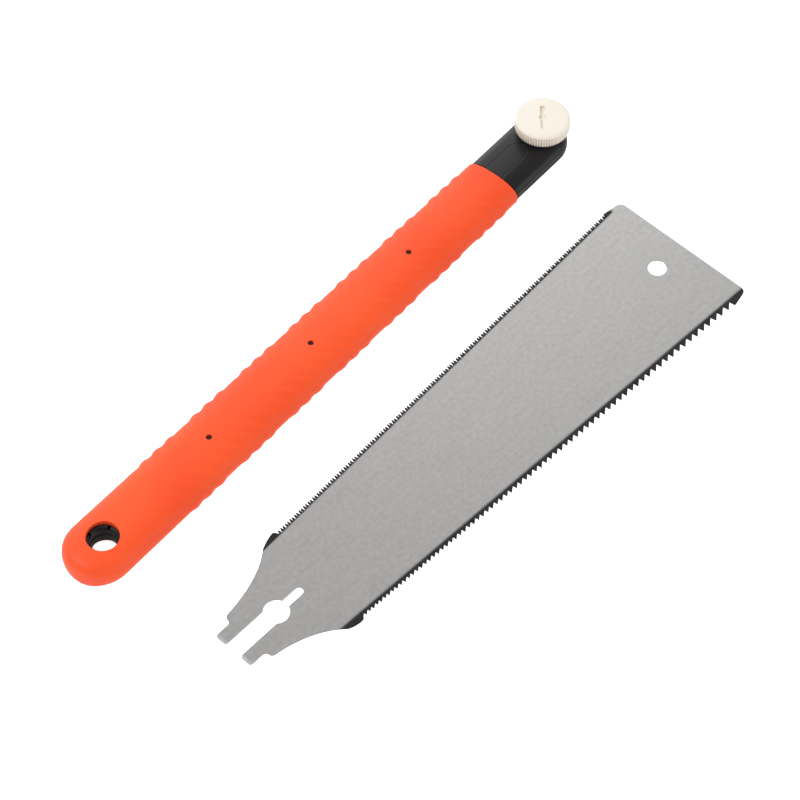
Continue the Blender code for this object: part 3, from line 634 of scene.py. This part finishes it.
def make_core(material):
    """The two halves of the core, split at the blade's slot and hollowed for what they hold."""
    upper = put("core_upper_shell", core_skin("core_upper_shell"))
    lower = put("core_lower_shell", core_skin("core_lower_shell"))
    middle = (0, HANDLE_Y, 0)
    clamp = (CLAMP_X, HANDLE_Y, 0)
    rear, front = CORE_ENDS
    whole = block_outline(rear, front, -CORE_SIDE, CORE_SIDE)
    carve(upper, [
        prism("below", block_outline(rear, SLOT_BACK, -CORE_SIDE, CORE_SIDE),
              -5, SPLIT_Z + GAP, middle),
        prism("slot", block_outline(SLOT_BACK, front, -CORE_SIDE, CORE_SIDE), -5, SLOT_TOP, middle),
        prism("liner_room", capsule(SLOT_BACK + LINER_SETBACK, ROOM_FRONT, ROOM_R),
              SLOT_TOP - LINER_SKIM, LINER_ROOF, middle),
        prism("shoulder_hole", round_outline(SHOULDER_R + GAP, 48), SPLIT_Z, 20, clamp),
        *[prism("pin_top", round_outline(PIN_ROOM_R, 16), SPLIT_Z - 1, PIN_ROOM_TOP, (x, HANDLE_Y, 0))
          for x in PIN_STATIONS],
        *paired("rivet_hole", RIVET_ROOM_R, SLOT_TOP, PIN_ROOM_TOP, RIVET_X, RIVET_Y),
        *paired("screw_hole", SCREW_ROOM_R, SPLIT_Z - 1, SCREW_ROOM_TOP, SCREW_X, SCREW_Y)])
    carve(lower, [
        prism("above", whole, SPLIT_Z, 25, middle),
        prism("spine_room", capsule(SPINE_REAR, ROOM_FRONT, ROOM_R), SPINE_FLOOR, SPLIT_Z + 1, middle),
        prism("nut_room", round_outline((NUT_FLATS + 2 * GAP) / sqrt(3), 6), 0, NUT_ROOF, clamp),
        *[prism("pin_foot", round_outline(PIN_ROOM_R, 16), PIN_ROOM_BOTTOM, SPLIT_Z + 1,
                (x, HANDLE_Y, 0)) for x in PIN_STATIONS],
        *paired("stop_hole", STOP_ROOM_R, STOP_ROOM_BOTTOM, SPLIT_Z + 1, STOP_X, STOP_Y),
        *paired("sunk_hole", SUNK_HEAD_R, SUNK_BOTTOM, SUNK_TOP, SCREW_X, SCREW_Y)])
    bosses = [prism("boss", round_outline(BOSS_R, 16), BOSS_FOOT,
                    between(SLEEVE_TOPS, x) - BOSS_DEPTH, (x, HANDLE_Y, 0)) for x in PIN_STATIONS]
    carve(upper, [tongue_cut()])
    carve(upper, bosses, "UNION")
    smooth(upper, 25)
    smooth(lower)
    settle(upper, "handle", "black_nylon", material, "core_upper")
    settle(lower, "handle", "black_nylon", material, "core_lower")


# ---------------------------------------------------------------- knob

def new_tree(name, sizes):
    """An empty geometry tree with a named input for each size."""
    tree = bpy.data.node_groups.new(name, "GeometryNodeTree")
    tree.interface.new_socket("Geometry", in_out="INPUT", socket_type="NodeSocketGeometry")
    for label, kind in sizes:
        tree.interface.new_socket(label, in_out="INPUT", socket_type=kind)
    tree.interface.new_socket("Geometry", in_out="OUTPUT", socket_type="NodeSocketGeometry")
    return tree, tree.nodes.new("NodeGroupInput").outputs


def close_tree(tree, shape, material):
    """End the tree in real, painted faces."""
    real = add(tree, "GeometryNodeRealizeInstances", {0: shape})
    painted = add(tree, "GeometryNodeSetMaterial", {
        "Geometry": real.outputs[0], "Material": material})
    add(tree, "NodeGroupOutput", {0: painted.outputs[0]})


def grown(name, tree, values):
    """Run a geometry tree on an empty mesh and keep the result as a plain object."""
    draft = put(name, bpy.data.meshes.new(name))
    step = draft.modifiers.new("grow", "NODES")
    step.node_group = tree
    for item in tree.interface.items_tree:
        if item.in_out == "INPUT" and item.name in values:
            step[item.identifier] = values[item.name]
    return plain_mesh(draft)


def knurl():
    """One rounded serration, its foot sunk into the knob and its head run out at the soft edge."""
    half = pi * KNOB_R / KNURLS * 0.88
    rows = []
    for z, rise in ((KNOB_BOTTOM + 0.1, 0.75), (KNOB_BOTTOM + 0.45, 1.0),
                    (KNOB_TOP - 2.6, 1.0), (KNOB_TOP - 1.5, 0.3)):
        top = KNURL_DEPTH * rise
        foot = -KNURL_SINK
        rows.append([(foot, -half, z), (0.05, -half, z), (top * 0.75, -half * 0.45, z), (top, 0, z),
                     (top * 0.75, half * 0.45, z), (0.05, half, z), (foot, half, z)])
    return skin("knurl", rows)


def knurl_tree():
    """One serration repeated round the knob's rim."""
    tree, sizes = new_tree("knurled_rim", (
        ("Count", "NodeSocketInt"), ("Root Radius", "NodeSocketFloat"),
        ("Centre", "NodeSocketVector"), ("Serration", "NodeSocketObject"),
        ("Material", "NodeSocketMaterial")))
    ring = add(tree, "GeometryNodeMeshCircle", {
        "Vertices": sizes["Count"], "Radius": sizes["Root Radius"]})
    outwards = add(tree, "FunctionNodeAlignRotationToVector", {
        "Vector": add(tree, "GeometryNodeInputPosition").outputs[0]}, axis="X", pivot_axis="Z")
    shape = add(tree, "GeometryNodeObjectInfo", {"Object": sizes["Serration"]})
    placed = add(tree, "GeometryNodeInstanceOnPoints", {
        "Points": ring.outputs[0], "Instance": shape.outputs["Geometry"],
        "Rotation": outwards.outputs[0]})
    moved = add(tree, "GeometryNodeTransform", {
        "Geometry": placed.outputs[0], "Translation": sizes["Centre"]})
    close_tree(tree, moved.outputs[0], sizes["Material"])
    return tree


def make_knob(material):
    """Ivory thumb knob: knurled rim, soft top edge, coin slot over a round recess."""
    root = KNOB_R - KNURL_DEPTH
    edge = KNOB_EDGE
    rim_r = KNOB_R - KNOB_LAP
    soft = [(rim_r - edge * (1 - sin(a)), KNOB_TOP - edge * (1 - cos(a)))
            for a in [radians(i * 15) for i in range(7)]]
    soft.append((root, KNOB_TOP - edge - 0.9))
    profile = [(CENTRE_R, KNOB_TOP), *soft, (root, KNOB_BOTTOM + 0.3),
               (root - 0.3, KNOB_BOTTOM), (CENTRE_R, KNOB_BOTTOM)]
    clamp = (CLAMP_X, HANDLE_Y, 0)
    rows = [[(r * cos(a), r * sin(a), z) for a in [2 * pi * i / 128 for i in range(128)]]
            for r, z in profile]
    knob = put("clamp_knob_body", skin("clamp_knob_body", rows, clamp))
    corner = COIN_SLOT_CORNER
    long, wide = COIN_SLOT_LONG / 2 - corner, COIN_SLOT_WIDE / 2 - corner
    slot = [*arc((long, wide), corner, 0, 90, 4), *arc((-long, wide), corner, 90, 180, 4),
            *arc((-long, -wide), corner, 180, 270, 4), *arc((long, -wide), corner, 270, 360, 4)]
    carve(knob, [
        prism("washer_room", round_outline(WASHER_R + GAP, 64), KNOB_BOTTOM - 1, WASHER_SEAT, clamp),
        prism("hex_room", round_outline((HEX_FLATS + 2 * GAP) / sqrt(3), 6), KNOB_BOTTOM - 1,
              HEX_TOP + GAP, clamp),
        prism("coin_slot", slot, KNOB_TOP - COIN_SLOT_DEEP, 30, clamp, COIN_SLOT_TURN),
        prism("recess", round_outline(RECESS_R, 32), KNOB_TOP - RECESS_DEEP, 30, clamp)])
    pattern = put("knurl", knurl())
    rim = grown("clamp_knob_rim", knurl_tree(), {
        "Count": KNURLS, "Root Radius": root * MM, "Centre": Vector(clamp) * MM,
        "Serration": pattern, "Material": material})
    bpy.data.objects.remove(pattern, do_unlink=True)
    for part in (knob, rim):
        smooth(part, 30)
    merged = joined("clamp_knob_moulding", knob, rim)
    settle(merged, "knob", "ivory_nylon", material, "clamp_knob")


def joined(name, *parts):
    """Put several finished shapes into one object."""
    bm = bmesh.new()
    for part in parts:
        bm.from_mesh(part.data)
    mesh = bpy.data.meshes.new(name)
    bm.to_mesh(mesh)
    bm.free()
    for part in parts:
        bpy.data.objects.remove(part, do_unlink=True)
    return put(name, mesh)


# ---------------------------------------------------------------- blade

def fine_tip(x):
    """Distance of the fine teeth's tips from the blade's middle line."""
    return FINE_TIP_Y + (x - FINE_START) * EDGE_SLOPE


def coarse_tip(x):
    """The same distance for the coarse teeth."""
    return COARSE_TIP_Y + (x - COARSE_START) * EDGE_SLOPE


def coarse_pitch(x):
    """Spacing of the coarse teeth, growing towards the tip."""
    return COARSE_PITCH + (x - COARSE_START) * COARSE_GROWTH


def coarse_stations():
    """Where the coarse teeth stand along the edge, their spacing growing towards the tip."""
    stations = [COARSE_START]
    while stations[-1] + coarse_pitch(stations[-1]) < COARSE_STOP:
        stations.append(stations[-1] + coarse_pitch(stations[-1]))
    return stations


def prong(way):
    """One prong of the tang, from its shoulder round to the keyhole, on side way = +1 or -1."""
    hole, slot, tail = 6.2, 4.45, 2.1
    end, edge = -27.7, 11.1
    notch = arc((-20.0, 13.1), 2.0, 15, -90, 8)
    outer = arc((end + 1.5, edge - 1.5), 1.5, 90, 180, 6)
    inner = arc((end + 1.5, slot + 1.5), 1.5, 180, 270, 6)
    around = arc((0, 0), hole, 180 - degrees(asin(slot / hole)), degrees(asin(tail / hole)), 18)
    tip = arc((16.7 - tail, 0), tail, 90, 0, 6)
    half = [(-16.3, 15.1), (-17.2, 14.7), *notch, *outer, *inner, *around, *tip]
    return [(x, way * y) for x, y in half]


def plate_outline():
    """The blade without its teeth, anticlockwise: the roots of the teeth are straight lines."""
    fine_shoulder = bezier((-16.3, 15.1), (7.0, 17.6), (19.5, 27.7), 16)
    fine_heel = [*fine_shoulder, (23.0, 29.2), (26.3, 30.2), (28.2, 30.5), (29.2, 30.2),
                 (29.6, 29.4)]
    first = FINE_START - 0.5 * FINE_PITCH
    last = FINE_START + (FINE_COUNT - 0.5) * FINE_PITCH
    fine_roots = [(x, fine_tip(x) - FINE_DEPTH) for x in (first, last - FINE_PITCH)]
    fine_corner = [(last - 0.5 * FINE_PITCH, fine_tip(last)), (282.2, 39.9), (283.3, 39.3),
                   (284.2, 38.2), (BLADE_END, 36.9)]
    coarse_shoulder = bezier((-16.3, -15.1), (4.0, -18.0), (15.8, -29.8), 16)
    coarse_heel = [*coarse_shoulder, (18.5, -30.9), (21.5, -31.5), (23.6, -31.5), (24.5, -31.1),
                   (24.9, -30.4)]
    stations = coarse_stations()
    coarse_roots = [(x - 0.1 * coarse_pitch(x), COARSE_DEPTH * coarse_pitch(x) - coarse_tip(x))
                    for x in (stations[0], stations[-1])]
    coarse_corner = [(stations[-1], -coarse_tip(stations[-1])), (281.8, -40.6), (283.1, -40.2),
                     (284.1, -39.3), (BLADE_END, -37.8)]
    fine_side = [*prong(1)[::-1], *fine_heel, *fine_roots, *fine_corner]
    coarse_side = [*prong(-1)[::-1][1:], *coarse_heel, *coarse_roots, *coarse_corner]
    return fine_side + coarse_side[::-1]


def plate_mesh():
    """The sheet, its arrises broken by a fine bevel, as a filled flat curve."""
    bevel = PLATE_BEVEL
    curve = bpy.data.curves.new("blade_plate", "CURVE")
    curve.dimensions = "2D"
    curve.fill_mode = "BOTH"
    curve.extrude = (BLADE_THICK / 2 - bevel) * MM
    curve.bevel_depth = bevel * MM
    curve.bevel_resolution = 0
    curve.offset = -bevel * MM
    for loop in (plate_outline(), arc((TIP_HOLE_X, 0), TIP_HOLE_R, 0, 360, 48)[:-1]):
        spline = curve.splines.new("POLY")
        spline.points.add(len(loop) - 1)
        for point, (x, y) in zip(spline.points, loop):
            point.co = (x * MM, y * MM, 0, 1)
        spline.use_cyclic_u = True
    draft = put("blade_plate", curve)
    bpy.context.view_layer.update()
    mesh = bpy.data.meshes.new_from_object(
        draft.evaluated_get(bpy.context.evaluated_depsgraph_get()))
    bpy.data.objects.remove(draft, do_unlink=True)
    return outward(mesh)


def tooth(name, rear, front, depth, rear_grind, front_grind, way, fullness=0.4):
    """One tooth standing on y = 0, its edges ground away on one face and its tip set to that side.

    rear and front are where it meets the root line, either side of its tip at x = 0.
    fullness is its share of that width six tenths of the way up: 0.4 gives straight sides.
    """
    sunk = -0.35
    body = BLADE_THICK / 2 - 0.02
    bend = TOOTH_SET * way
    bulge = depth * 0.6
    land = [(rear, sunk), (front, sunk), (front, 0), (front * fullness, bulge), (0, depth),
            (rear * fullness, bulge), (rear, 0)]
    drop = (rear_grind + front_grind) * 0.7
    ground = [(rear, sunk), (front, sunk), (front - front_grind, 0),
              ((front - front_grind) * fullness, bulge - drop / 2), (0, depth - drop),
              ((rear + rear_grind) * fullness, bulge - drop / 2), (rear + rear_grind, 0)]
    rings = []
    for outline, z in ((land, body * way), (ground, -body * way)):
        rings.append([(x, y, z + bend * max(0.0, y) / depth) for x, y in outline])
    return skin(name, rings)


def tooth_tree():
    """A row of teeth set left and right by turns, each pitch and tooth grown by a steady ratio."""
    tree, sizes = new_tree("tooth_row", (
        ("Count", "NodeSocketInt"), ("First", "NodeSocketVector"), ("Pitch", "NodeSocketFloat"),
        ("Growth", "NodeSocketFloat"), ("Slope", "NodeSocketFloat"),
        ("Left Tooth", "NodeSocketObject"), ("Right Tooth", "NodeSocketObject"),
        ("Material", "NodeSocketMaterial")))
    index = add(tree, "GeometryNodeInputIndex").outputs[0]
    line = add(tree, "GeometryNodeMeshLine", {"Count": sizes["Count"], "Offset": (0, 0, 0)})
    size = add(tree, "ShaderNodeMath", {0: sizes["Growth"], 1: index}, operation="POWER")
    gap = add(tree, "ShaderNodeMath", {0: size.outputs[0], 1: sizes["Pitch"]}, operation="MULTIPLY")
    run = add(tree, "GeometryNodeAccumulateField", {0: gap.outputs[0]}, data_type="FLOAT")
    rise = add(tree, "ShaderNodeMath", {0: run.outputs["Trailing"], 1: sizes["Slope"]},
               operation="MULTIPLY")
    offset = add(tree, "ShaderNodeCombineXYZ", {"X": run.outputs["Trailing"], "Y": rise.outputs[0]})
    spot = add(tree, "ShaderNodeVectorMath", {0: offset.outputs[0], 1: sizes["First"]})
    spread = add(tree, "GeometryNodeSetPosition", {
        "Geometry": line.outputs[0], "Position": spot.outputs[0]})
    left = add(tree, "GeometryNodeObjectInfo", {"Object": sizes["Left Tooth"], "As Instance": True})
    right = add(tree, "GeometryNodeObjectInfo", {"Object": sizes["Right Tooth"], "As Instance": True})
    pair = add(tree, "GeometryNodeJoinGeometry", {0: left.outputs["Geometry"]})
    tree.links.new(right.outputs["Geometry"], pair.inputs[0])
    turn = add(tree, "ShaderNodeMath", {0: index, 1: 2.0}, operation="MODULO")
    flat = add(tree, "ShaderNodeCombineXYZ", {"X": size.outputs[0], "Y": size.outputs[0], "Z": 1.0})
    placed = add(tree, "GeometryNodeInstanceOnPoints", {
        "Points": spread.outputs[0], "Instance": pair.outputs[0], "Pick Instance": True,
        "Instance Index": turn.outputs[0], "Scale": flat.outputs[0]})
    close_tree(tree, placed.outputs[0], sizes["Material"])
    return tree


def make_blade(material):
    """The double-edged blade: bevelled sheet, ground tang ends, and a row of teeth on each side."""
    plate = put("saw_blade_sheet", plate_mesh())
    ramp = [(-28.5, 0.02), (-26.2, 0.36), (-26.2, 1.2), (-28.5, 1.2)]
    grind = skin("tang_grind", [[(x, y, z) for x, z in ramp] for y in (-14.0, 14.0)])
    carve(plate, [grind])
    tree = tooth_tree()
    fine_pair = [put("fine_tooth", tooth("fine_tooth", -0.46 * FINE_PITCH, 0.38 * FINE_PITCH,
                                         FINE_DEPTH, 0.1, 0.1, way, 0.66)) for way in (1, -1)]
    fine = grown("fine_teeth", tree, {
        "Count": FINE_COUNT, "First": Vector((FINE_START, FINE_TIP_Y - FINE_DEPTH, 0)) * MM,
        "Pitch": FINE_PITCH * MM, "Growth": 1.0, "Slope": EDGE_SLOPE,
        "Left Tooth": fine_pair[0], "Right Tooth": fine_pair[1], "Material": material})
    depth = COARSE_DEPTH * COARSE_PITCH
    coarse_pair = []
    for way in (1, -1):
        mesh = tooth("coarse_tooth", -0.12 * COARSE_PITCH, 0.88 * COARSE_PITCH, depth, 0.1, 0.35, way)
        mesh.transform(Matrix.Diagonal((1, -1, 1, 1)))
        coarse_pair.append(put("coarse_tooth", outward(mesh)))
    root_slope = EDGE_SLOPE - COARSE_GROWTH * COARSE_DEPTH
    coarse = grown("coarse_teeth", tree, {
        "Count": len(coarse_stations()),
        "First": Vector((COARSE_START, depth - COARSE_TIP_Y, 0)) * MM,
        "Pitch": COARSE_PITCH * MM, "Growth": 1.0 + COARSE_GROWTH, "Slope": -root_slope,
        "Left Tooth": coarse_pair[0], "Right Tooth": coarse_pair[1],
        "Material": material})
    for pattern in (*fine_pair, *coarse_pair):
        bpy.data.objects.remove(pattern, do_unlink=True)
    blade = joined("saw_blade_steel", plate, fine, coarse)
    chart_plan(blade.data)
    lie = Matrix.Translation(Vector((BLADE_X, BLADE_Y, BLADE_Z + BLADE_THICK / 2)) * MM)
    blade.data.transform(lie @ Matrix.Rotation(BLADE_TURN, 4, "Z"))
    blade.data.shade_flat()
    settle(blade, "saw_blade", "saw_steel", material, "blade")


def chart_plan(mesh):
    """Keep each point's place in the blade's own frame as a map, for patterns along the blade."""
    for layer in list(mesh.uv_layers):
        mesh.uv_layers.remove(layer)
    chart = mesh.uv_layers.new(name="blade_plan")
    for loop in mesh.loops:
        chart.data[loop.index].uv = mesh.vertices[loop.vertex_index].co.xy


# ---------------------------------------------------------------- stage, lights and camera

def make_floor():
    """A plain white studio sheet, lit so that it stays pale under the object."""
    made, tree, shader, _ = new_finish("studio_paper", 0.9, colour="#fdfdfd")
    shader.inputs["Specular IOR Level"].default_value = 0.0
    seen = add(tree, "ShaderNodeLightPath").outputs["Is Camera Ray"]
    glow = add(tree, "ShaderNodeMapRange", {0: seen, 3: 0.15, 4: 0.9})
    shader.inputs["Emission Color"].default_value = linear("#ffffff")
    tree.links.new(glow.outputs[0], shader.inputs["Emission Strength"])
    floor = put("studio_floor", mesh_of("studio_floor", [
        (-4000, -4000, 0), (4000, -4000, 0), (4000, 4000, 0), (-4000, 4000, 0)], [(0, 1, 2, 3)]))
    floor.data.materials.append(made)


def softbox(name, place, aim, size, power):
    """A large square lamp, its place and aim in metres."""
    lamp = bpy.data.lights.new(name, "AREA")
    lamp.shape = "RECTANGLE"
    lamp.size, lamp.size_y = size
    lamp.energy = power
    made = bpy.data.objects.new(name, lamp)
    made.location = place
    made.rotation_euler = (Vector(aim) - Vector(place)).to_track_quat("-Z", "Y").to_euler()
    bpy.context.scene.collection.objects.link(made)


def make_lights():
    """An even white room, a key lamp over the butt, low lamps on both sides, and a far one.

    The far lamp is what the blade reflects, and it gives the steel its even pale grey.
    """
    world = bpy.data.worlds.new("studio")
    world.use_nodes = True
    backdrop = world.node_tree.nodes["Background"]
    backdrop.inputs["Color"].default_value = linear("#ffffff")
    backdrop.inputs["Strength"].default_value = 0.52
    bpy.context.scene.world = world
    softbox("key", (-0.75, 0.55, 1.35), (0, 0.05, 0), (0.9, 0.9), 12.5)
    softbox("fill", (0.5, -1.2, 0.5), (0, 0, 0), (1.2, 0.5), 4.0)
    softbox("back", (0.5, 1.2, 0.25), (0.1, 0.06, 0), (1.2, 0.4), 3.0)
    softbox("far", (1.2, 1.02, 1.3), (0.05, 0, 0), (1.0, 1.0), 5.5)


def make_camera():
    """Looks down on the saw from the butt end, on the blade's side."""
    lens = bpy.data.cameras.new("camera")
    lens.lens = 128.97
    lens.sensor_width = 36.0
    lens.clip_start, lens.clip_end = 0.05, 20.0
    view = bpy.data.objects.new("camera", lens)
    view.location = (-0.5900, -0.4880, 1.1164)
    view.rotation_euler = (radians(34.64), 0.0, radians(-49.61))
    bpy.context.scene.collection.objects.link(view)
    bpy.context.scene.camera = view


def repaint(material, *names):
    """Give carried-over CAD pieces their real finish."""
    for name in names:
        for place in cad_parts[name].material_slots:
            place.material = material


black = black_nylon()
make_sleeve(grip_rubber())
make_hang_eye(black)
make_core(black)
make_knob(ivory_nylon())
make_blade(blade_steel())
repaint(rolled_steel(), "spine_plate", "jaw_liner", "thrust_washer", "wave_washer")
repaint(turned_steel(), "core_pin_rear", "core_pin_middle", "core_pin_front", "clamp_screw",
        "stop_pin_near", "stop_pin_far", "liner_rivet_near", "liner_rivet_far")
repaint(zinc_plate(), "clamp_nut", "head_screw_near", "head_screw_far")
make_floor()
make_lights()
make_camera()
bpy.context.scene.view_settings.view_transform = "Standard"
